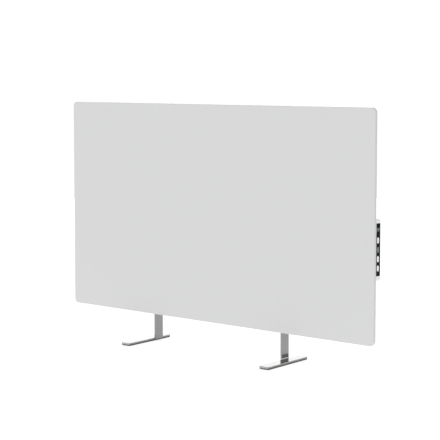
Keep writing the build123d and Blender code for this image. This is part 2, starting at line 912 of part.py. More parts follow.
capacitor_level = control_middle - board_height * capacitor_drop_share
with BuildPart() as smoothing_capacitor:
    with BuildSketch(across(board_back)):
        with Locations((board_left + capacitor_inset, capacitor_level)):
            Circle(capacitor_radius)
    extrude(amount=-capacitor_height)
    fillet(smoothing_capacitor.faces().sort_by(Axis.Y)[-1].edges(), capacitor_edge_radius)
finish(smoothing_capacitor.part, "smoothing_capacitor")


def terminal_block(x, level, width, height, depth, screw_places):
    """Terminal block standing on the control board, with a recessed clamp screw at each place."""
    with BuildPart() as terminal:
        with BuildSketch(across(board_back)):
            with Locations((x, level)):
                Rectangle(width, height)
        extrude(amount=-depth)
        with BuildSketch(across(board_back + depth)):
            with Locations(*screw_places):
                Circle(terminal_screw_radius)
        extrude(amount=terminal_screw_depth, mode=Mode.SUBTRACT)
    return terminal.part


mains_terminal_level = control_middle - board_height * mains_terminal_drop_share
mains_screws = [(inlet_x + side * mains_pole_pitch / 2, mains_terminal_level) for side in (-1, 1)]
finish(
    terminal_block(
        inlet_x,
        mains_terminal_level,
        mains_terminal_width,
        mains_terminal_height,
        mains_terminal_depth,
        mains_screws,
    ),
    "mains_terminal",
)
heater_terminal_x = board_right - heater_terminal_width / 2
heater_screws = [(heater_terminal_x, control_middle + side * pad_spacing / 2) for side in (-1, 1)]
finish(
    terminal_block(
        heater_terminal_x,
        control_middle,
        heater_terminal_width,
        heater_terminal_height,
        heater_terminal_depth,
        heater_screws,
    ),
    "heater_terminal",
)

ribbon_level = control_middle + board_height * ribbon_lift_share
ribbon_y = board_back + ribbon_socket_depth / 2
with BuildPart() as board_sockets:
    with BuildSketch(across(board_back)):
        with Locations((board_right - ribbon_socket_length / 2, ribbon_level)):
            Rectangle(ribbon_socket_length, ribbon_socket_height)
        with Locations((board_right - sensor_socket_size / 2, sensor_level)):
            Rectangle(sensor_socket_size, sensor_socket_size)
    extrude(amount=-ribbon_socket_depth)
    with BuildSketch(Plane.YZ.offset(button_board_back)):
        with Locations((ribbon_y, ribbon_level)):
            Rectangle(ribbon_socket_depth, ribbon_socket_height)
    extrude(amount=-ribbon_socket_length)
finish(board_sockets.part, "board_sockets")

ribbon_end = button_board_back - ribbon_socket_length
with BuildPart() as board_ribbon:
    with BuildSketch(Plane.YZ.offset(board_right)):
        with Locations((ribbon_y, ribbon_level)):
            Rectangle(ribbon_thickness, ribbon_height)
    extrude(amount=ribbon_end - board_right)
finish(board_ribbon.part, "board_ribbon")

# Thermal cutout on the lower pad, temperature sensor on the rear glass, and their leads
pad_face = film_back + bus_bar_thickness
upper_pad_level = control_middle + pad_spacing / 2
lower_pad_level = control_middle - pad_spacing / 2
cutout_top = control_middle - feeder_gap / 2
with BuildPart() as thermal_cutout:
    with BuildSketch(across(pad_face)):
        with Locations((feeder_x, cutout_top - cutout_length / 2)):
            RectangleRounded(cutout_width, cutout_length, cutout_corner_radius)
    extrude(amount=-cutout_thickness)
finish(thermal_cutout.part, "thermal_cutout")

with BuildPart() as temperature_sensor:
    with BuildSketch(across(rear_face)):
        with Locations((feeder_x, sensor_level)):
            Circle(sensor_radius)
    extrude(amount=-sensor_height)
    fillet(temperature_sensor.faces().sort_by(Axis.Y)[-1].edges(), sensor_edge_radius)
finish(temperature_sensor.part, "temperature_sensor")


def inner_lead(level, start_y, bend_radius, radius, y):
    """Lead that rises straight off the panel, turns once and runs to the control board's right edge."""
    with BuildPart() as lead:
        with BuildLine():
            FilletPolyline(
                (feeder_x, start_y, level),
                (feeder_x, y, level),
                (board_right, y, level),
                radius=bend_radius,
            )
        with BuildSketch(across(start_y)):
            with Locations((feeder_x, level)):
                Circle(radius)
        sweep()
    return lead.part


lead_y = board_back + lead_height
finish(inner_lead(upper_pad_level, pad_face, lead_bend_radius, lead_radius, lead_y), "live_lead")
finish(
    inner_lead(lower_pad_level, pad_face + cutout_thickness, lead_bend_radius, lead_radius, lead_y),
    "cutout_lead",
)
finish(
    inner_lead(
        sensor_level,
        rear_face + sensor_height,
        sensor_lead_bend_radius,
        sensor_lead_radius,
        ribbon_y,
    ),
    "sensor_lead",
)

# Cable inlet in the lower wall: a bush with its nut inside
with BuildPart() as inlet_bush:
    with BuildSketch(Plane.XY.offset(control_bottom)):
        with Locations((inlet_x, inlet_y)):
            Circle(inlet_flange_radius)
    extrude(amount=-inlet_flange_thickness)
    with BuildSketch(Plane.XY.offset(control_bottom - inlet_flange_thickness)):
        with Locations((inlet_x, inlet_y)):
            Circle(inlet_body_radius)
    extrude(amount=-inlet_sleeve_length, taper=inlet_sleeve_taper)
    with BuildSketch(Plane.XY.offset(control_bottom)):
        with Locations((inlet_x, inlet_y)):
            Circle(inlet_body_radius)
    extrude(amount=cover_wall + inlet_nut_height)
    with BuildSketch(Plane.XY.offset(control_bottom + cover_wall + inlet_nut_height)):
        with Locations((inlet_x, inlet_y)):
            Circle(inlet_bore_radius)
    extrude(
        amount=-(cover_wall + inlet_nut_height + inlet_flange_thickness + inlet_sleeve_length),
        mode=Mode.SUBTRACT,
    )
finish(inlet_bush.part, "inlet_bush")

with BuildPart() as inlet_nut:
    with BuildSketch(Plane.XY.offset(control_bottom + cover_wall)):
        with Locations((inlet_x, inlet_y)):
            RegularPolygon(inlet_nut_across_flats / 2, 6, major_radius=False)
            Circle(inlet_body_radius + thread_clearance, mode=Mode.SUBTRACT)
    extrude(amount=inlet_nut_height)
finish(inlet_nut.part, "inlet_nut")
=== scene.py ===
"""Looks of a free-standing glass panel heater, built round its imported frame.

The script is laid out as an add-on: settings, one operator for each piece or group of like pieces, one
for the studio, and a sidebar panel that lists them. Lengths are in metres. The origin is on the floor,
midway between the ends of the feet and in the middle of the panel's thickness, +X is to the right seen
from the front, +Y goes to the back and +Z is up.
"""

import math

import bmesh
import bpy
import numpy as np
from bpy.props import FloatProperty, FloatVectorProperty, IntProperty, PointerProperty
from bpy.types import Operator, Panel, PropertyGroup
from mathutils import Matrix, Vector


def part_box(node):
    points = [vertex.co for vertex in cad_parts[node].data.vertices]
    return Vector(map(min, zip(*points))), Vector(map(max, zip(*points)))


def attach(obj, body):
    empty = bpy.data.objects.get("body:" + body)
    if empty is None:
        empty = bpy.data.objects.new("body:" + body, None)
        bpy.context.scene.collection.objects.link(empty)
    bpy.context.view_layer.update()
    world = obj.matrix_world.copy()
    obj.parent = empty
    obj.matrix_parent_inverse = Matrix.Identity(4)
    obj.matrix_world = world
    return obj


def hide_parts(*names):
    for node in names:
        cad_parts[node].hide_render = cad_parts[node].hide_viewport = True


bl_info = {
    "name": "Glass Panel Heater",
    "version": (1, 0, 0),
    "blender": (4, 5, 0),
    "location": "View3D > Sidebar > Heater",
    "description": "Builds the visible pieces and finishes of a glass panel heater on steel legs",
    "category": "Add Mesh",
}

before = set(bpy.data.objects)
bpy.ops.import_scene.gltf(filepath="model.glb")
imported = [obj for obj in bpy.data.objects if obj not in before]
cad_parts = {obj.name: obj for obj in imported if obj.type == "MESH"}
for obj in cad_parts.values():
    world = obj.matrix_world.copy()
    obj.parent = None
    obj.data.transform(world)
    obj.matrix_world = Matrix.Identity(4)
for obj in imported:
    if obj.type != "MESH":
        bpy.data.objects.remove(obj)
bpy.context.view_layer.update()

MAIN_BODY = "heater"
X, Y, Z = range(3)
FULL_TURN = 2 * math.pi
QUARTER_TURN = math.pi / 2

# Distances under which points are merged, in a new mesh and in a CAD node's loose triangles
MERGE_DISTANCE = 1e-7
WELD_DISTANCE = 2e-6

# Angles between faces: over the first two an edge is rounded or left sharp, under the last it is flat
SHARP_ANGLE = math.radians(35)
CREASE_ANGLE = math.radians(30)
FLAT_ANGLE = math.radians(0.5)


def colour_property(name, description, default):
    """A linear RGB colour that a user can change."""
    return FloatVectorProperty(
        name=name, description=description, default=default, size=3, min=0.0, max=1.0, subtype="COLOR"
    )


def number_property(name, description, default, **options):
    """A number that a user can change."""
    return FloatProperty(name=name, description=description, default=default, **options)


def length_property(name, description, default):
    """A length in metres that a user can change."""
    options = {"min": 0.0, "precision": 5, "subtype": "DISTANCE", "unit": "LENGTH"}
    return number_property(name, description, default, **options)


def share_property(name, description, default):
    """A share from 0 to 1 that a user can change."""
    return number_property(name, description, default, min=0.0, max=1.0, subtype="FACTOR")


def angle_property(name, description, degrees):
    """An angle that a user can change."""
    return number_property(name, description, math.radians(degrees), subtype="ANGLE", unit="ROTATION")


class GlassSettings(PropertyGroup):
    """Sizes and colours of the laminated panel."""

    corner_radius: length_property("Corner radius", "Radius of the panel's four corners", 0.012)
    arris: length_property("Arris", "Rounding of the ground edge where it meets a face", 0.0006)
    enamel: colour_property("Enamel", "White enamel as it looks through the glass", (0.796, 0.798, 0.8))
    ground_edge: colour_property("Ground edge", "Colour of the ground edge", (0.7, 0.711, 0.705))
    face_roughness: share_property("Face roughness", "Roughness of the float glass face", 0.09)
    edge_roughness: share_property("Edge roughness", "Roughness of the ground edge", 0.38)


class LegSettings(PropertyGroup):
    """Sizes and colours of the legs, their pads and what fixes them."""

    steel: colour_property("Steel", "Colour of the satin polished bar", (0.265, 0.265, 0.262))
    # Painted highlight: a lighter tone painted on the bar's narrow faces that look to the front and back
    bar_edge_painted_light: colour_property("Bar edge", "Colour of the bar's narrow edges", (0.335, 0.335, 0.332))
    # Painted highlight: a still lighter tone painted on the feet's cut ends
    foot_end_painted_light: colour_property("Foot end", "Colour of the feet's cut ends", (0.46, 0.46, 0.455))
    steel_roughness: share_property("Steel roughness", "Mean roughness of the polished bar", 0.17)
    edge_round: length_property("Edge rounding", "Rounding of the bar's edges", 0.0004)
    grain_length: length_property("Grain length", "Length of the polishing marks", 0.06)
    grain_width: length_property("Grain width", "Width of the polishing marks", 0.0004)
    rubber: colour_property("Rubber", "Colour of the foot pads", (0.085, 0.085, 0.086))
    # Painted highlight: a lighter tone painted on the pads' faces that look to the front and back
    rubber_end_painted_light: colour_property("Rubber end", "Colour of the pads' rubbed ends", (0.21, 0.21, 0.212))
    pad_corner: length_property("Pad corner", "Radius of the pad's corners", 0.004)
    pad_lip: length_property("Pad lip", "Rounding of the pad's rims", 0.0005)
    block_round: length_property("Block rounding", "Rounding of the bonded blocks' edges", 0.0004)
    screw_round: length_property("Screw rounding", "Rounding of the screw heads' edges", 0.00015)


class HousingSettings(PropertyGroup):
    """Colours and edges of the control unit's housing and fascia."""

    plastic: colour_property("Plastic", "White moulded plastic", (0.87, 0.87, 0.862))
    roughness: share_property("Roughness", "Roughness of the moulded surface", 0.42)
    edge_round: length_property("Edge rounding", "Rounding of the moulding's small edges", 0.00015)
    screw_round: length_property("Screw rounding", "Rounding of the cover screws' edges", 0.0001)
    fascia: colour_property("Fascia", "Smoked gloss strip", (0.004, 0.0042, 0.0044))
    fascia_round: length_property("Fascia rounding", "Rounding of the fascia's edges", 0.0002)


class InletSettings(PropertyGroup):
    """Sizes of the cable inlet's bush. Its radii are shares of its flange's radius."""

    bore_share: share_property("Bore", "Radius of the bore", 1 / 2)
    body_share: share_property("Body", "Radius of the bush on both sides of its flange", 5 / 7)
    tip_share: share_property("Tip", "Radius of the sleeve's lower end", 4.3 / 7)
    sleeve_length: length_property("Sleeve length", "Length of the sleeve under the flange", 0.008)
    flange_thickness: length_property("Flange thickness", "Thickness of the flange", 0.002)
    lip: length_property("Lip", "Rounding of the bush's rims", 0.0004)
    groove_count: IntProperty(name="Groove count", description="Number of the sleeve's grooves", default=5)
    groove_depth: length_property("Groove depth", "Depth of the sleeve's grooves", 0.00044)


class ButtonSettings(PropertyGroup):
    """Sizes and colours of the button caps."""

    cap: colour_property("Cap", "White button caps", (0.94, 0.94, 0.93))
    lit_cap: colour_property("Lit cap", "Smoked cap of the status button", (0.1, 0.14, 0.115))
    lit_glow: number_property("Lit glow", "Strength of the light behind the status button", 0.03)
    dish: length_property("Dish", "Depth of the finger dish in a cap", 0.00028)
    rim: length_property("Rim", "Rounding of a cap's rim", 0.0004)
    flange_reach: length_property("Flange reach", "How far a cap's flange reaches past its wall", 0.0014)
    flange_thickness: length_property("Flange thickness", "Thickness of a cap's flange", 0.0012)
    flange_chamfer: length_property("Flange chamfer", "Chamfer round the back of a cap's flange", 0.0002)
    spine_gap: length_property("Spine gap", "Half width of the flat along the middle of a cap", 0.00015)


class SignSettings(PropertyGroup):
    """Sizes and colours of the signs printed on the caps."""

    ink: colour_property("Ink", "Printed signs on the white caps", (0.45, 0.45, 0.45))
    stroke: length_property("Stroke", "Width of a printed line", 0.00055)
    film: length_property("Film", "Height of a printed line over its cap", 0.00004)
    ring_radius: length_property("Ring radius", "Radius of the power sign's ring", 0.0014)
    ring_gap: angle_property("Ring gap", "Opening at the top of the power sign's ring", 70)
    tick_length: length_property("Tick length", "Length of the power sign's upright line", 0.0019)
    tick_lift: length_property("Tick lift", "Height of that line's middle over the ring's", 0.0012)
    line_length: length_property("Line length", "Length of the status sign's lines", 0.003)
    line_pitch: length_property("Line pitch", "Distance between the status sign's lines", 0.0012)
    arm_length: length_property("Arm length", "Length of the plus and minus signs' strokes", 0.0034)


class DisplaySettings(PropertyGroup):
    """Sizes of the lit marks on the display."""

    glow: number_property("Glow", "Strength of the lit marks", 0.3)
    bar: length_property("Bar", "Width of a lit bar", 0.0008)
    gap: share_property("Gap", "What a bar's ends leave free of its place, as a share of its width", 0.3)
    film: length_property("Film", "Height of a lit bar over the fascia", 0.00004)
    digit_height: length_property("Digit height", "Height of a digit", 0.0062)
    digit_width: length_property("Digit width", "Width of a digit", 0.0036)
    digit_pitch: length_property("Digit pitch", "Distance between the middles of the digits", 0.0074)
    digit_lift: length_property("Digit lift", "Height of the digits over the display's middle", 0.0011)
    dash_length: length_property("Dash length", "Length of the dash under the first digit", 0.0026)
    dash_reach: length_property("Dash reach", "How far the dash lies to the left of the middle", 0.0062)
    dash_drop: length_property("Dash drop", "Drop of the dash from the digits' feet", 0.0026)


class StudioSettings(PropertyGroup):
    """Camera, floor and lights."""

    camera_place: FloatVectorProperty(
        name="Camera place", description="Where the camera stands", default=(2.2441, -2.6963, 0.7284),
        size=3, subtype="TRANSLATION", unit="LENGTH",
    )
    camera_turn: angle_property("Camera turn", "Heading of the camera, anticlockwise from +Y", 39.258)
    camera_dip: angle_property("Camera dip", "How far the camera looks below the horizon", 4.391)
    lens: number_property("Lens", "Focal length in millimetres on a 36 mm sensor", 111.754)
    shift_x: number_property("Shift X", "Sideways shift of the frame, as a share of its width", -0.0096)
    shift_y: number_property("Shift Y", "Upward shift of the frame, as a share of its width", -0.1)
    floor_size: length_property("Floor size", "Side of the floor", 160.0)
    floor_white: colour_property("Floor white", "Colour of the floor", (0.8, 0.8, 0.8))
    floor_glow: number_property("Floor glow", "Light that the lit floor gives off", 0.575)
    room_low: number_property("Low light", "Strength of the room's light near the horizon", 1.04)
    room_high: number_property("High light", "Strength of the room's light overhead", 0.55)
    fade_start: angle_property("Fade start", "Height over the horizon where the light starts to fade", 7.0)
    fade_end: angle_property("Fade end", "Height over the horizon where the light has faded", 12.0)
    low_softbox: number_property("Low softbox", "Radiance of the low softbox behind the heater", 1.33)
    high_softbox: number_property("High softbox", "Radiance of the raised softbox behind it", 3.0)


GROUPS = (
    ("glass", GlassSettings),
    ("legs", LegSettings),
    ("housing", HousingSettings),
    ("inlet", InletSettings),
    ("buttons", ButtonSettings),
    ("signs", SignSettings),
    ("display", DisplaySettings),
    ("studio", StudioSettings),
)


class HeaterSettings(PropertyGroup):
    """All the heater's settings, kept on the scene."""

    __annotations__ = {name: PointerProperty(type=kind) for name, kind in GROUPS}


# Surfaces


def corners(node):
    """Lowest corner, highest corner and middle of a CAD node as arrays of three numbers."""
    low, high = (np.array(corner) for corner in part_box(node))
    return low, high, (low + high) / 2


def build_mesh(name, vertices, faces):
    """Makes a mesh from arrays, smooth except at sharp edges.

    Points that coincide are merged, which closes seams, and then the faces are turned outward.
    """
    mesh = bpy.data.meshes.new(name)
    mesh.from_pydata(np.asarray(vertices).tolist(), [], [list(face) for face in faces])
    shell = bmesh.new()
    shell.from_mesh(mesh)
    bmesh.ops.remove_doubles(shell, verts=shell.verts, dist=MERGE_DISTANCE)
    bmesh.ops.recalc_face_normals(shell, faces=shell.faces)
    shell.to_mesh(mesh)
    shell.free()
    mesh.shade_smooth()
    mesh.set_sharp_from_angle(angle=SHARP_ANGLE)
    return mesh


def place_piece(mesh, material, body, slot, *nodes):
    """Links a mesh as a piece of its name, which rides on a body and stands for the given CAD nodes."""
    piece = bpy.data.objects.new(mesh.name, mesh)
    bpy.context.scene.collection.objects.link(piece)
    mesh.materials.append(material)
    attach(piece, body)
    if nodes:
        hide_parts(*nodes)


def joined_quads(ring_count, point_count, loop=False):
    """Quads of a grid of rings: each joins two neighbouring points of a ring to those of the next ring.

    A ring's last point joins its first. With loop, the last ring joins the first one too.
    """
    rows = ring_count if loop else ring_count - 1
    ring, point = np.meshgrid(np.arange(rows), np.arange(point_count), indexing="ij")
    beside = (point + 1) % point_count
    here, above = ring * point_count, (ring + 1) % ring_count * point_count
    quads = np.stack([here + point, here + beside, above + beside, above + point], axis=-1)
    return quads.reshape(-1, 4)


def closed_loft(rings):
    """Vertices and faces of a surface through closed rings, flat across its first and last ring.

    rings is an array (ring, point, 3): the surface's point at (i, j) is point j of ring i.
    """
    ring_count, point_count, _ = rings.shape
    faces = joined_quads(ring_count, point_count).tolist()
    last_start = (ring_count - 1) * point_count
    faces.append(range(point_count))
    faces.append(range(last_start, last_start + point_count))
    return rings.reshape(-1, 3), faces


def rounded_outline(width, height, radius, insets, arc_steps=12):
    """Concentric rounded rectangles about the origin, one for each inset, as an array (inset, point, 2).

    A corner's points lie on a quarter circle about the corner's centre, which stays where it is, and
    the circle's radius is the outline's radius less the inset, so the outlines run parallel.
    """
    quarter = np.linspace(0, QUARTER_TURN, arc_steps + 1)
    angles = np.concatenate([quarter + corner * QUARTER_TURN for corner in range(4)])
    signs = np.repeat(np.array([[1, 1], [-1, 1], [-1, -1], [1, -1]]), arc_steps + 1, axis=0)
    centres = signs * np.array([width / 2 - radius, height / 2 - radius])
    directions = np.stack([np.cos(angles), np.sin(angles)], axis=-1)
    reach = radius - np.asarray(insets, float)
    return centres[None] + reach[:, None, None] * directions[None]


def slab_profile(thickness, rounding, margin_share=1.3, steps=5):
    """Profile of a slab's edge from one face to the other, as insets and levels.

    Each rim is a quarter circle: the inset is the rounding times one less the sine of the angle, and the
    level is the rounding times one less its cosine. A flat margin on both faces, whose inset is a share
    of the rounding, comes before the rims.
    """
    angle = np.linspace(0, QUARTER_TURN, steps + 1)
    insets = rounding * (1 - np.sin(angle))
    levels = rounding * (1 - np.cos(angle))
    margin = rounding * margin_share
    return (
        np.concatenate([[margin], insets, insets[::-1], [margin]]),
        np.concatenate([[0], levels, thickness - levels[::-1], [thickness]]),
    )


def slab(name, node, axis, radius, rounding):
    """Mesh of a rounded slab in the box of a CAD node, and the inset of each of its vertices.

    Rounded outlines across the given axis are stacked on the profile of a slab's edge: the point at
    (i, j) is point j of the outline with inset i, at level i of the profile.
    """
    low, high, middle = corners(node)
    across = [side for side in (X, Y, Z) if side != axis]
    insets, levels = slab_profile(high[axis] - low[axis], rounding)
    width, height = (high - low)[across]
    outline = rounded_outline(width, height, radius, insets)
    rings = np.empty((*outline.shape[:2], 3))
    rings[..., across] = middle[across] + outline
    rings[..., axis] = (low[axis] + levels)[:, None]
    vertices, faces = closed_loft(rings)
    return build_mesh(name, vertices, faces), np.repeat(insets, outline.shape[1])


def turned_surface(profile, centre, steps=56):
    """Vertices and faces of a closed profile turned about an upright axis.

    profile is an array (point, 2) of radii and levels. The point at (i, j) is the axis plus radius j
    times the cosine and sine of turn i, at level j.
    """
    turn = np.linspace(0, FULL_TURN, steps, endpoint=False)
    radius, level = profile[:, 0], profile[:, 1]
    rings = np.stack(
        [
            centre[X] + np.cos(turn)[:, None] * radius[None],
            centre[Y] + np.sin(turn)[:, None] * radius[None],
            np.broadcast_to(level, (steps, len(level))),
        ],
        axis=-1,
    )
    return rings.reshape(-1, 3), joined_quads(steps, len(level), loop=True)


def raised_shapes(outlines, height_over, origin):
    """Vertices and faces of flat signs that stand on a side face, one prism for each outline.

    An outline is an array (point, 2) of places along Y and Z from the origin. Its prism runs from just
    under the surface to just over it: a vertex's X is the surface's height there plus its own lift.
    """
    vertices, faces, start = [], [], 0
    for outline in outlines:
        count = len(outline)
        lower, upper = (height_over(outline, lift) for lift in (-1, 1))
        for level in (lower, upper):
            vertices.append(np.column_stack([level, outline + origin]))
        faces += (joined_quads(2, count) + start).tolist()
        faces += [range(start, start + count), range(start + count, start + 2 * count)]
        start += 2 * count
    return np.concatenate(vertices), faces


def bar_outline(length, width, upright=False, middle=(0.0, 0.0), tip=0.5):
    """Outline of a straight stroke with pointed ends, as the bars of a display have.

    Its six points are the ends of the middle line, and the four corners set in from the ends by a share
    of the width.
    """
    end, side = length / 2, width / 2
    inner = end - tip * width
    points = np.array([[end, 0], [inner, side], [-inner, side], [-end, 0], [-inner, -side], [inner, -side]])
    if upright:
        points = points[:, ::-1] * np.array([-1, 1])
    return points + np.array(middle)


def ring_outline(radius, width, gap, steps=28):
    """Outline of a ring with a gap on top: an arc half a width outside the radius and one back inside it."""
    angle = QUARTER_TURN + np.linspace(gap / 2, FULL_TURN - gap / 2, steps)
    direction = np.stack([np.cos(angle), np.sin(angle)], axis=-1)
    return np.concatenate([direction * (radius + width / 2), direction[::-1] * (radius - width / 2)])


def plus_outline(length, width):
    """Outline of a plus: the corners of two crossed strokes, taken in turn a quarter at a time."""
    half, side = length / 2, width / 2
    arm = np.array([[half, -side], [half, side], [side, side]])
    quarters = np.array([[[1, 0], [0, 1]], [[0, 1], [-1, 0]], [[-1, 0], [0, -1]], [[0, -1], [1, 0]]])
    return np.einsum("pi,qij->qpj", arm, quarters).reshape(-1, 2)


# Finishes


class Shader:
    """A material's node tree, with short calls for the nodes that the finishes share."""

    # Where a mix node has the sockets of its two colours, and of the colour that it gives out
    FIRST_COLOUR, SECOND_COLOUR, MIXED_COLOUR = 6, 7, 2

    def __init__(self, name):
        self.material = bpy.data.materials.new(name)
        self.material.use_nodes = True
        self.nodes = self.material.node_tree.nodes
        coordinates = self.nodes.new("ShaderNodeTexCoord")
        self.place = coordinates.outputs["Object"]
        self.facing = coordinates.outputs["Normal"]

    def feed(self, socket, value):
        """Links an output to a socket, or sets a constant on it. A colour is three numbers."""
        if isinstance(value, bpy.types.NodeSocket):
            self.material.node_tree.links.new(value, socket)
        else:
            socket.default_value = (*value, 1.0) if socket.type == "RGBA" else value

    def fill(self, node, inputs):
        """Feeds a node's sockets. Underscores stand for the spaces in their names."""
        for key, value in inputs.items():
            self.feed(node.inputs[key.replace("_", " ")], value)
        return node

    def add(self, kind, **inputs):
        """Adds a node and feeds its sockets."""
        return self.fill(self.nodes.new(kind), inputs)

    def finish(self, **inputs):
        """Feeds the surface's own sockets and hands over the material."""
        self.fill(self.nodes["Principled BSDF"], inputs)
        return self.material

    def mapped(self, scale=(1, 1, 1), turn=(0, 0, 0)):
        """Object coordinates turned and multiplied by a scale for each axis."""
        return self.add("ShaderNodeMapping", Vector=self.place, Scale=scale, Rotation=turn).outputs["Vector"]

    def noise(self, scale, detail=2.0, roughness=0.5, place=None):
        """Fractal noise from 0 to 1."""
        texture = self.add("ShaderNodeTexNoise", Scale=scale, Detail=detail, Roughness=roughness)
        self.feed(texture.inputs["Vector"], place or self.place)
        return texture.outputs["Fac"]

    def between(self, share, low, high, start=0.3, end=0.7):
        """Maps the middle of a share's range onto the range from low to high."""
        limits = {"From_Min": start, "From_Max": end, "To_Min": low, "To_Max": high}
        return self.add("ShaderNodeMapRange", Value=share, **limits).outputs["Result"]

    def mix(self, share, first, second):
        """Blends two colours by a share. A colour is three numbers or an output."""
        node = self.add("ShaderNodeMix", Factor=share)
        node.data_type = "RGBA"
        self.feed(node.inputs[self.FIRST_COLOUR], first)
        self.feed(node.inputs[self.SECOND_COLOUR], second)
        return node.outputs[self.MIXED_COLOUR]

    def tones(self, share, colour, spread):
        """A colour that varies between a darker and a lighter tone of itself."""
        colour = np.array(colour)
        darker, lighter = (tuple(np.clip(colour * (1 + side * spread), 0, 1)) for side in (-1, 1))
        return self.mix(self.between(share, 0, 1), darker, lighter)

    def bump(self, height, depth):
        """Normals of the surface, bumped by a height from 0 to 1 whose depth is in metres."""
        return self.add("ShaderNodeBump", Height=height, Distance=depth).outputs["Normal"]

    def size_along(self, vector, axis, start, end):
        """Share from 0 to 1 of the way from start to end of a vector's size along an axis."""
        parts = self.add("ShaderNodeSeparateXYZ", Vector=vector)
        size = self.add("ShaderNodeMath", Value=parts.outputs[axis])
        size.operation = "ABSOLUTE"
        return self.between(size.outputs[0], 0, 1, start, end)

    def front_or_back(self):
        """Share from 0 to 1 by which a face looks to the front or to the back; the legs and pads take it as
        the mask of their painted highlights.
        """
        return self.size_along(self.facing, "Y", start=0.5, end=0.95)


def enamelled_glass(glass):
    """Float glass over white enamel, with a satin ground edge where the mesh says so."""
    shader = Shader("enamelled_glass")
    marks = shader.nodes.new("ShaderNodeAttribute")
    marks.attribute_name = "ground_edge"
    edge = marks.outputs["Fac"]
    enamel, ground = tuple(glass.enamel), tuple(glass.ground_edge)
    softer = tuple(channel * 0.988 for channel in enamel)
    darker = tuple(channel * 0.96 for channel in ground)
    face = shader.mix(shader.between(shader.noise(scale=5.0, detail=3.0), 0, 1), softer, enamel)
    rim = shader.mix(shader.between(shader.noise(scale=2600.0, detail=1.0), 0, 1), darker, ground)
    low, high = glass.face_roughness * 0.8, glass.face_roughness * 1.2
    polish = shader.between(shader.noise(scale=40.0), low, high)
    roughness = shader.add("ShaderNodeMix", Factor=edge, A=polish, B=glass.edge_roughness)
    return shader.finish(
        Base_Color=shader.mix(edge, face, rim),
        Roughness=roughness.outputs["Result"],
        Normal=shader.bump(shader.noise(scale=1800.0), depth=0.000003),
        IOR=1.52,
    )


def polished_steel(legs):
    """Satin polished bar, with long fine polishing marks up the bar and faint smudges.

    Its narrow edges, which face front and back, are painted lighter as a painted highlight, and the cut ends
    of the feet are painted lighter still.
    """
    shader = Shader("polished_steel")
    across, along = 1 / legs.grain_width, 1 / legs.grain_length
    grain = shader.mapped(scale=(across, across, along))
    marks = shader.noise(scale=1.0, detail=3.0, roughness=0.6, place=grain)
    # Painted highlights: the second and third colours are lighter tones laid on faces that look to the front
    # or back, the lightest low down on the feet
    colours = (legs.steel, legs.bar_edge_painted_light, legs.foot_end_painted_light)
    face, edge, end = (shader.tones(marks, colour, spread=0.05) for colour in colours)
    low_down = shader.size_along(shader.place, "Z", start=0.02, end=0.008)
    low, high = legs.steel_roughness * 0.75, legs.steel_roughness * 1.3
    return shader.finish(
        # Faces that look to the front or back get the painted highlight, and the lightest one low down on
        # the feet's ends
        Base_Color=shader.mix(shader.front_or_back(), face, shader.mix(low_down, edge, end)),
        Roughness=shader.between(shader.noise(scale=22.0), low, high),
        Normal=shader.bump(marks, depth=0.000002),
        Metallic=1.0,
    )


def metal(name, colour, roughness):
    """Plain metal with a fine cloudy bloom."""
    shader = Shader(name)
    cloud = shader.noise(scale=900.0, detail=3.0)
    satin = shader.between(cloud, roughness * 0.8, roughness * 1.3)
    return shader.finish(Base_Color=shader.tones(cloud, colour, spread=0.08), Roughness=satin, Metallic=1.0)


def soft_rubber(name, colour, end=None):
    """Matt rubber with a fine grain and faint scuffs; where an end colour is given, its faces that look to
    the front or back get that colour as a painted highlight.
    """
    shader = Shader(name)
    grain = shader.noise(scale=2200.0)
    scuffs = shader.noise(scale=90.0, detail=4.0, roughness=0.65)
    surface = shader.tones(scuffs, colour, spread=0.25)
    # Painted highlight: faces that look to the front or back take the lighter end colour
    if end:
        painted_lighter = shader.tones(scuffs, end, spread=0.15)
        surface = shader.mix(shader.front_or_back(), surface, painted_lighter)
    roughness, bump = shader.between(grain, 0.62, 0.85), shader.bump(grain, depth=0.00003)
    return shader.finish(Base_Color=surface, Roughness=roughness, Normal=bump)


def moulded_plastic(name, colour, roughness):
    """Moulded plastic with the fine eroded grain of its tool."""
    shader = Shader(name)
    grain = shader.noise(scale=2800.0)
    return shader.finish(
        Base_Color=shader.tones(shader.noise(scale=35.0), colour, spread=0.012),
        Roughness=shader.between(grain, roughness * 0.9, roughness * 1.12),
        Normal=shader.bump(grain, depth=0.00001),
        IOR=1.49,
    )


def gloss_plastic(name, colour, roughness, gloss=0.5, glow=0.0, light=(1.0, 1.0, 1.0)):
    """Gloss plastic with faint handling marks, and a glow where it is lit from behind."""
    shader = Shader(name)
    marks = shader.noise(scale=160.0, detail=4.0, roughness=0.6)
    return shader.finish(
        Base_Color=shader.tones(marks, colour, spread=0.03),
        Roughness=shader.between(marks, roughness * 0.7, roughness * 1.5),
        IOR=1.49,
        Specular_IOR_Level=gloss,
        Emission_Color=light,
        Emission_Strength=glow,
    )


def circuit_board():
    """Solder mask with tracks that show through as a lighter green."""
    shader = Shader("circuit_board")
    bricks = shader.add(
        "ShaderNodeTexBrick",
        Vector=shader.mapped(turn=(math.radians(90), 0, math.radians(45))),
        Color1=(0.02, 0.16, 0.07),
        Color2=(0.03, 0.2, 0.09),
        Mortar=(0.012, 0.09, 0.045),
        Scale=260.0,
        Mortar_Size=0.16,
    )
    roughness = shader.between(shader.noise(scale=500.0), 0.22, 0.34)
    return shader.finish(Base_Color=bricks.outputs["Color"], Roughness=roughness)


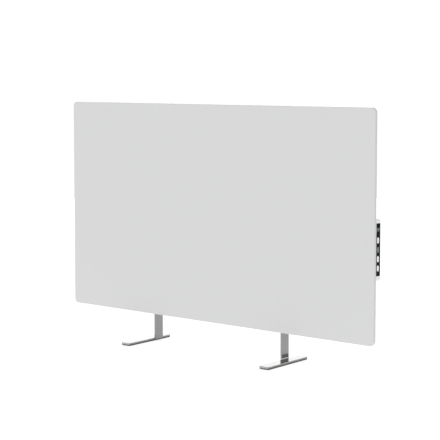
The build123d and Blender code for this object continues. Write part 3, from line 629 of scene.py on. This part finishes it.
def printed_film():
    """Resistive film: bars of printed carbon with narrow gaps between them."""
    shader = Shader("heating_film")
    wave = shader.add("ShaderNodeTexWave", Vector=shader.place, Scale=40.0)
    wave.bands_direction = "X"
    bars = shader.mix(wave.outputs["Fac"], (0.03, 0.03, 0.032), (0.012, 0.012, 0.012))
    return shader.finish(Base_Color=bars, Roughness=shader.between(shader.noise(scale=800.0), 0.45, 0.6))


def dress_nodes(finish, *nodes, rounding=None):
    """Gives CAD nodes a finish, and refines their edges where a rounding is given."""
    for name in nodes:
        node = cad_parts[name]
        node.data.materials.clear()
        node.data.materials.append(finish)
        if rounding is not None:
            refine_edges(node, rounding)


def smooth_shading_tree():
    """Modifier tree that shades faces smooth, except at edges where they meet at over the crease angle."""
    name = "smooth_faces"
    if name in bpy.data.node_groups:
        return bpy.data.node_groups[name]
    tree = bpy.data.node_groups.new(name, "GeometryNodeTree")
    for side in ("INPUT", "OUTPUT"):
        tree.interface.new_socket("Geometry", in_out=side, socket_type="NodeSocketGeometry")
    entry, leave = tree.nodes.new("NodeGroupInput"), tree.nodes.new("NodeGroupOutput")
    angle = tree.nodes.new("GeometryNodeInputMeshEdgeAngle")
    over = tree.nodes.new("FunctionNodeCompare")
    over.data_type, over.operation = "FLOAT", "GREATER_THAN"
    over.inputs["B"].default_value = CREASE_ANGLE
    faces, edges = (tree.nodes.new("GeometryNodeSetShadeSmooth") for _ in range(2))
    faces.domain, edges.domain = "FACE", "EDGE"
    faces.inputs["Shade Smooth"].default_value = True
    edges.inputs["Shade Smooth"].default_value = False
    for output, target in (
        (entry.outputs[0], faces.inputs["Geometry"]),
        (faces.outputs[0], edges.inputs["Geometry"]),
        (angle.outputs["Unsigned Angle"], over.inputs["A"]),
        (over.outputs["Result"], edges.inputs["Selection"]),
        (edges.outputs[0], leave.inputs[0]),
    ):
        tree.links.new(output, target)
    return tree


def refine_edges(node, rounding):
    """Welds a CAD node's loose triangles, rounds its sharp edges and shades it smooth."""
    node.modifiers.new("weld", "WELD").merge_threshold = WELD_DISTANCE
    if rounding:
        flat = node.modifiers.new("flat", "DECIMATE")
        flat.decimate_type = "DISSOLVE"
        flat.angle_limit = FLAT_ANGLE
        bevel = node.modifiers.new("rounding", "BEVEL")
        bevel.width = rounding
        bevel.segments = 2
        bevel.limit_method = "ANGLE"
        bevel.angle_limit = SHARP_ANGLE
        bevel.use_clamp_overlap = True
    node.modifiers.new("smooth", "NODES").node_group = smooth_shading_tree()
    if rounding:
        node.modifiers.new("flat_shading", "WEIGHTED_NORMAL").keep_sharp = True


# Pieces


class HEATER_OT_glass(Operator):
    """Builds both panes and finishes what is laminated between them"""

    bl_idname = "heater.glass"
    bl_label = "Glass panel"

    def execute(self, context):
        glass = context.scene.heater.glass
        finish = enamelled_glass(glass)
        for side in ("front", "rear"):
            mesh, insets = slab(f"{side}_pane", f"{side}_glass", Y, glass.corner_radius, glass.arris)
            ground = mesh.attributes.new("ground_edge", "FLOAT", "POINT")
            ground.data.foreach_set("value", (insets < glass.arris).astype(np.float32))
            place_piece(mesh, finish, MAIN_BODY, "enamelled_glass", f"{side}_glass")
        interlayer = moulded_plastic("interlayer", (0.5, 0.51, 0.5), roughness=0.3)
        dress_nodes(interlayer, "front_interlayer", "rear_interlayer")
        dress_nodes(printed_film(), "heating_film")
        copper = metal("tinned_copper", (0.62, 0.5, 0.42), roughness=0.3)
        dress_nodes(copper, "upper_bus_bar", "lower_bus_bar")
        return {"FINISHED"}


class HEATER_OT_legs(Operator):
    """Finishes the bent legs and the blocks that carry them, and builds their foot pads"""

    bl_idname = "heater.legs"
    bl_label = "Legs and feet"

    def execute(self, context):
        legs = context.scene.heater.legs
        dress_nodes(polished_steel(legs), "left_leg", "right_leg", rounding=legs.edge_round)
        # The pads' ends get a painted highlight colour
        rubber = soft_rubber("foot_rubber", legs.rubber, legs.rubber_end_painted_light)
        for side in ("left", "right"):
            node = f"{side}_foot_pad"
            mesh, _ = slab(f"{side}_pad", node, Z, legs.pad_corner, legs.pad_lip)
            place_piece(mesh, rubber, MAIN_BODY, "foot_rubber", node)
        steel = metal("plated_steel", (0.55, 0.55, 0.56), roughness=0.24)
        dress_nodes(steel, "leg_screws", rounding=legs.screw_round)
        brass = metal("insert_brass", (0.58, 0.43, 0.2), roughness=0.28)
        dress_nodes(brass, "threaded_inserts", rounding=0)
        blocks = [f"{side}_{use}_block" for side in ("left", "right") for use in ("leg", "wall")]
        block_plastic = moulded_plastic("block_plastic", (0.7, 0.7, 0.69), roughness=0.4)
        dress_nodes(block_plastic, *blocks, rounding=legs.block_round)
        dress_nodes(soft_rubber("foam_tape", (0.3, 0.3, 0.3)), "block_tapes", "control_tape")
        return {"FINISHED"}


class HEATER_OT_housing(Operator):
    """Finishes the control unit's housing and its screws, and builds the cable inlet's bush"""

    bl_idname = "heater.housing"
    bl_label = "Control housing"

    def execute(self, context):
        housing = context.scene.heater.housing
        plastic = moulded_plastic("housing_plastic", housing.plastic, housing.roughness)
        dress_nodes(plastic, "control_cover", "control_base", rounding=housing.edge_round)
        steel = metal("screw_steel", (0.5, 0.5, 0.51), roughness=0.26)
        dress_nodes(steel, "cover_screws", rounding=housing.screw_round)
        dress_nodes(steel, "board_screws")
        nylon = moulded_plastic("inlet_nylon", (0.03, 0.03, 0.031), roughness=0.45)
        dress_nodes(nylon, "inlet_nut")
        self.build_bush(context.scene.heater.inlet, nylon)
        return {"FINISHED"}

    def build_bush(self, inlet, nylon):
        """Builds the bush: a turned profile with a flange, and a tapered sleeve, the kind that bends with a
        cable, here built rigid.

        Up the sleeve the radius grows evenly, less half the groove depth times one less the cosine of an
        angle that makes a full turn for each groove.
        """
        low, high, middle = corners("inlet_bush")
        foot, top, flange = low[Z], high[Z], (high[X] - low[X]) / 2
        bore, body, tip = (flange * part for part in (inlet.bore_share, inlet.body_share, inlet.tip_share))
        sleeve_top = foot + inlet.sleeve_length
        flange_top = sleeve_top + inlet.flange_thickness
        lip, sleeve_steps, rim_steps = inlet.lip, 40, 4
        share = np.linspace(0, 1, sleeve_steps + 1)
        groove = inlet.groove_depth / 2 * (1 - np.cos(share * inlet.groove_count * FULL_TURN))
        level = foot + lip + (inlet.sleeve_length - lip) * share
        sleeve = np.column_stack([tip + (body - tip) * share - groove, level])
        angle = np.linspace(0, QUARTER_TURN, rim_steps + 1)
        rim = np.column_stack([flange - lip + lip * np.sin(angle), sleeve_top + lip - lip * np.cos(angle)])
        upper = np.array([[flange, flange_top], [body, flange_top], [body, top], [bore, top]])
        lower = np.array([[bore, foot + lip], [bore + lip / 2, foot], [tip - lip / 2, foot]])
        profile = np.concatenate([lower, sleeve, rim, upper])
        mesh = build_mesh("cable_bush", *turned_surface(profile, middle[:Z]))
        place_piece(mesh, nylon, MAIN_BODY, "component_black", "inlet_bush")


class HEATER_OT_fascia(Operator):
    """Finishes the gloss fascia and draws the display's digits"""

    bl_idname = "heater.fascia"
    bl_label = "Fascia and display"

    # Lit bars of a two: middle in half widths and quarter heights of the digit, and whether it is upright
    BARS_OF_TWO = ((0, 2, False), (0, 0, False), (0, -2, False), (1, 1, True), (-1, -1, True))

    def execute(self, context):
        housing = context.scene.heater.housing
        fascia = gloss_plastic("smoked_acrylic", housing.fascia, roughness=0.12, gloss=0.04)
        dress_nodes(fascia, "side_fascia", rounding=housing.fascia_round)
        dress_nodes(moulded_plastic("display_black", (0.02, 0.02, 0.021), roughness=0.5), "display_module")
        self.build_digits(context.scene.heater.display)
        return {"FINISHED"}

    def build_digits(self, display):
        """Builds the lit bars of two twos and of a dash on the fascia, each a stroke with pointed ends."""
        width, height, bar = display.digit_width, display.digit_height, display.bar
        # The dash under the first digit shows that the heater is on
        dash_middle = (-display.dash_reach, -height / 2 - display.dash_drop)
        outlines = [bar_outline(display.dash_length, bar, middle=dash_middle)]
        for shift in (-display.digit_pitch / 2, display.digit_pitch / 2):
            for across, up, upright in self.BARS_OF_TWO:
                length = (height / 2 if upright else width) - bar * display.gap
                middle = (across * width / 2 + shift, up * height / 4)
                outlines.append(bar_outline(length, bar, upright, middle))
        _, fascia_high, _ = corners("side_fascia")
        _, _, module_middle = corners("display_module")
        origin = module_middle[Y:] + np.array([0, display.digit_lift])

        def height_over(outline, lift):
            return np.full(len(outline), fascia_high[X] + lift * display.film)

        grey, mint = (0.35, 0.37, 0.36), (0.85, 1.0, 0.95)
        finish = gloss_plastic("digit_light", grey, roughness=0.3, glow=display.glow, light=mint)
        mesh = build_mesh("display_digits", *raised_shapes(outlines, height_over, origin))
        place_piece(mesh, finish, MAIN_BODY, "fascia")


class HEATER_OT_buttons(Operator):
    """Builds the four oval button caps with their printed signs"""

    bl_idname = "heater.buttons"
    bl_label = "Buttons"

    def execute(self, context):
        buttons, signs = context.scene.heater.buttons, context.scene.heater.signs
        white = gloss_plastic("cap_white", buttons.cap, roughness=0.22)
        green, pale_green = (0.55, 1.0, 0.7), (0.6, 1.0, 0.75)
        lit = gloss_plastic("cap_lit", buttons.lit_cap, roughness=0.2, glow=buttons.lit_glow, light=green)
        dark_ink = moulded_plastic("sign_ink", signs.ink, roughness=0.5)
        light_ink = gloss_plastic("sign_light", (0.3, 0.4, 0.34), roughness=0.4, glow=0.1, light=pale_green)
        black = moulded_plastic("switch_black", (0.03, 0.03, 0.03), roughness=0.4)
        for key, outlines in self.sign_outlines(signs).items():
            cap, ink, slot = white, dark_ink, "button_white"
            if key == "status":
                cap, ink, slot = lit, light_ink, "button_lit"
            self.build_cap(buttons, key, cap, slot)
            self.build_sign(buttons, signs.film, key, outlines, ink, slot)
            dress_nodes(black, f"{key}_plunger")
        dress_nodes(black, "switch_bodies")
        return {"FINISHED"}

    def sign_outlines(self, signs):
        """Outlines of the sign on each cap."""
        stroke, arm, pitch = signs.stroke, signs.arm_length, signs.line_pitch
        tick = bar_outline(signs.tick_length, stroke, True, (0, signs.tick_lift))
        lines = [bar_outline(signs.line_length, stroke, middle=(0, level)) for level in (-pitch, 0, pitch)]
        return {
            "power": [ring_outline(signs.ring_radius, stroke, signs.ring_gap), tick],
            "status": lines,
            "plus": [plus_outline(arm, stroke)],
            "minus": [bar_outline(arm, stroke, tip=0)],
        }

    def cap_sizes(self, buttons, key):
        """Box of a cap's CAD node, its oval's half width and half length of the oval's straight part."""
        low, high, middle = corners(f"{key}_button")
        half_width = (high[Y] - low[Y]) / 2 - buttons.flange_reach
        straight = (high[Z] - low[Z]) / 2 - buttons.flange_reach - half_width
        return low, high, middle, half_width, straight

    def dish(self, buttons, spine_distance, half_width):
        """Depth of the finger dish: greatest on the oval's spine and falling off as a parabola."""
        flat = half_width - buttons.rim
        return buttons.dish * (1 - np.minimum(spine_distance / flat, 1) ** 2)

    def build_cap(self, buttons, key, finish, slot):
        """Builds a cap: ovals stacked on a profile that runs round the flange, up the wall and over the rim.

        An oval with an inset is the set of points at the half width less the inset from a straight spine.
        The top's level is the face less the dish at that distance.
        """
        low, high, middle, half_width, straight = self.cap_sizes(buttons, key)
        back, face, rim = low[X], high[X], buttons.rim
        reach, chamfer = buttons.flange_reach, buttons.flange_chamfer
        flange_front = back + buttons.flange_thickness
        last = half_width - buttons.spine_gap
        flange = [[last, back], [chamfer - reach, back], [-reach, back + chamfer], [-reach, flange_front]]
        shoulder_steps, top_steps, end_steps = 6, 8, 14
        angle = np.linspace(0, QUARTER_TURN, shoulder_steps + 1)
        shoulder = np.column_stack([rim * (1 - np.cos(angle)), face - rim * (1 - np.sin(angle))])
        inset = np.linspace(rim, last, top_steps + 1)[1:]
        top = np.column_stack([inset, face - self.dish(buttons, half_width - inset, half_width)])
        profile = np.concatenate([flange, [[0, flange_front]], shoulder, top])
        height = 2 * (straight + half_width)
        outline = rounded_outline(2 * half_width, height, half_width, profile[:, 0], end_steps)
        rings = np.empty((*outline.shape[:2], 3))
        rings[..., X] = profile[:, 1, None]
        rings[..., Y:] = middle[Y:] + outline
        mesh = build_mesh(f"{key}_cap", *closed_loft(rings))
        place_piece(mesh, finish, f"{key}_key", slot, f"{key}_button")

    def build_sign(self, buttons, film, key, outlines, finish, slot):
        """Builds a cap's sign, which follows the cap's dished top."""
        _, high, middle, half_width, straight = self.cap_sizes(buttons, key)

        def height_over(outline, lift):
            along = np.maximum(np.abs(outline[:, 1]) - straight, 0)
            spine_distance = np.hypot(outline[:, 0], along)
            return high[X] - self.dish(buttons, spine_distance, half_width) + lift * film

        mesh = build_mesh(f"{key}_sign", *raised_shapes(outlines, height_over, middle[Y:]))
        place_piece(mesh, finish, f"{key}_key", slot)


class HEATER_OT_electronics(Operator):
    """Finishes the boards, their parts and the inner leads"""

    bl_idname = "heater.electronics"
    bl_label = "Boards and leads"

    def execute(self, context):
        black = moulded_plastic("component_black", (0.025, 0.025, 0.027), roughness=0.45)
        green = moulded_plastic("terminal_green", (0.05, 0.25, 0.09), roughness=0.4)
        sleeve = gloss_plastic("capacitor_sleeve", (0.03, 0.04, 0.12), roughness=0.25)
        lens = gloss_plastic("lamp_lens", (0.3, 0.7, 0.4), roughness=0.2, glow=0.4, light=(0.4, 1.0, 0.6))
        for finish, nodes in (
            (circuit_board(), ("control_board", "button_board")),
            (black, ("power_supply", "thermal_cutout")),
            (moulded_plastic("relay_blue", (0.03, 0.07, 0.3), roughness=0.3), ("relay",)),
            (gloss_plastic("fuse_glass", (0.6, 0.64, 0.6), roughness=0.05), ("fuse",)),
            (metal("radio_can", (0.6, 0.6, 0.6), roughness=0.3), ("radio_module",)),
            (metal("clip_steel", (0.55, 0.55, 0.56), roughness=0.25), ("fuse_clips",)),
            (sleeve, ("smoothing_capacitor",)),
            (green, ("mains_terminal", "heater_terminal")),
            (moulded_plastic("socket_nylon", (0.75, 0.73, 0.68), roughness=0.4), ("board_sockets",)),
            (soft_rubber("ribbon_grey", (0.35, 0.36, 0.38)), ("board_ribbon", "sensor_lead")),
            (soft_rubber("lead_red", (0.4, 0.03, 0.025)), ("live_lead", "cutout_lead")),
            (gloss_plastic("sensor_epoxy", (0.04, 0.04, 0.04), roughness=0.2), ("temperature_sensor",)),
            (lens, ("status_lamp",)),
        ):
            dress_nodes(finish, *nodes)
        return {"FINISHED"}


class HEATER_OT_studio(Operator):
    """Builds the pale floor, the soft lights and the camera"""

    bl_idname = "heater.studio"
    bl_label = "Studio"

    # Place, width and height of each softbox. Its radiance is the setting of the same name
    SOFTBOXES = {
        "low_softbox": ((-2.62, 3.15, 1.0), 2.6, 2.0),
        "high_softbox": ((0.75, 2.4, 2.1), 0.9, 1.4),
    }
    SOFTBOX_AIM = (0.0, 0.0, 0.1)
    SENSOR_WIDTH = 36.0

    def execute(self, context):
        studio = context.scene.heater.studio
        self.build_floor(context, studio)
        self.light_room(context, studio)
        for name, box in self.SOFTBOXES.items():
            self.place_softbox(context, name, *box, radiance=getattr(studio, name))
        self.place_camera(context, studio)
        context.scene.view_settings.view_transform = "Standard"
        return {"FINISHED"}

    def build_floor(self, context, studio):
        """A square of pale floor that gives off light, as a lit table does."""
        half = studio.floor_size / 2
        mesh = bpy.data.meshes.new("studio_floor")
        square = [(-half, -half, 0), (half, -half, 0), (half, half, 0), (-half, half, 0)]
        mesh.from_pydata(square, [], [(0, 1, 2, 3)])
        floor = bpy.data.objects.new("studio_floor", mesh)
        context.scene.collection.objects.link(floor)
        shader = Shader("floor_white")
        white = shader.finish(
            Base_Color=shader.tones(shader.noise(scale=3.0), studio.floor_white, spread=0.01),
            Roughness=1.0,
            Specular_IOR_Level=0.0,
            Emission_Color=(1.0, 1.0, 1.0),
            Emission_Strength=studio.floor_glow,
        )
        mesh.materials.append(white)

    def light_room(self, context, studio):
        """Even light from all round, brighter near the horizon than overhead."""
        world = bpy.data.worlds.new("studio_room")
        world.use_nodes = True
        nodes, links = world.node_tree.nodes, world.node_tree.links
        direction = nodes.new("ShaderNodeTexCoord")
        parts = nodes.new("ShaderNodeSeparateXYZ")
        fade = nodes.new("ShaderNodeMapRange")
        fade.interpolation_type = "SMOOTHSTEP"
        for name, value in (
            ("From Min", math.sin(studio.fade_start)),
            ("From Max", math.sin(studio.fade_end)),
            ("To Min", studio.room_low),
            ("To Max", studio.room_high),
        ):
            fade.inputs[name].default_value = value
        background = nodes["Background"]
        background.inputs["Color"].default_value = (1.0, 1.0, 1.0, 1.0)
        links.new(direction.outputs["Generated"], parts.inputs["Vector"])
        links.new(parts.outputs["Z"], fade.inputs["Value"])
        links.new(fade.outputs["Result"], background.inputs["Strength"])
        context.scene.world = world

    def place_softbox(self, context, name, place, width, height, radiance):
        """A large softbox that faces the feet: they mirror the low one, and their bends the high one."""
        lamp = bpy.data.lights.new(name, "AREA")
        lamp.shape = "RECTANGLE"
        lamp.size, lamp.size_y = width, height
        lamp.energy = radiance * math.pi * width * height
        box = bpy.data.objects.new(name, lamp)
        box.location = place
        aim = Vector(self.SOFTBOX_AIM) - box.location
        box.rotation_euler = aim.to_track_quat("-Z", "Y").to_euler()
        context.scene.collection.objects.link(box)

    def place_camera(self, context, studio):
        """The camera of the reference view."""
        camera = bpy.data.cameras.new("reference_camera")
        camera.lens = studio.lens
        camera.sensor_width = self.SENSOR_WIDTH
        camera.shift_x, camera.shift_y = studio.shift_x, studio.shift_y
        camera.clip_start, camera.clip_end = 0.05, 400.0
        holder = bpy.data.objects.new("reference_camera", camera)
        holder.location = studio.camera_place
        holder.rotation_euler = (QUARTER_TURN - studio.camera_dip, 0.0, studio.camera_turn)
        context.scene.collection.objects.link(holder)
        context.scene.camera = holder


class HEATER_PT_sidebar(Panel):
    """Lists the heater's settings and operators"""

    bl_label = "Glass Panel Heater"
    bl_idname = "HEATER_PT_sidebar"
    bl_space_type = "VIEW_3D"
    bl_region_type = "UI"
    bl_category = "Heater"

    def draw(self, context):
        settings = context.scene.heater
        for group, kind in GROUPS:
            box = self.layout.box()
            box.label(text=group.capitalize())
            for key in kind.__annotations__:
                box.prop(getattr(settings, group), key)
        for operator in OPERATORS:
            self.layout.operator(operator.bl_idname)


OPERATORS = (
    HEATER_OT_glass,
    HEATER_OT_legs,
    HEATER_OT_housing,
    HEATER_OT_fascia,
    HEATER_OT_buttons,
    HEATER_OT_electronics,
    HEATER_OT_studio,
)
CLASSES = (*(kind for _, kind in GROUPS), HeaterSettings, *OPERATORS, HEATER_PT_sidebar)


def register():
    """Registers the classes and puts the settings on the scene."""
    for kind in CLASSES:
        bpy.utils.register_class(kind)
    bpy.types.Scene.heater = PointerProperty(type=HeaterSettings)


def unregister():
    """Takes the settings and the classes away again."""
    del bpy.types.Scene.heater
    for kind in reversed(CLASSES):
        bpy.utils.unregister_class(kind)


def main():
    register()
    bpy.ops.heater.studio()
    bpy.ops.heater.glass()
    bpy.ops.heater.legs()
    bpy.ops.heater.housing()
    bpy.ops.heater.fascia()
    bpy.ops.heater.buttons()
    bpy.ops.heater.electronics()


if __name__ == "__main__":
    main()
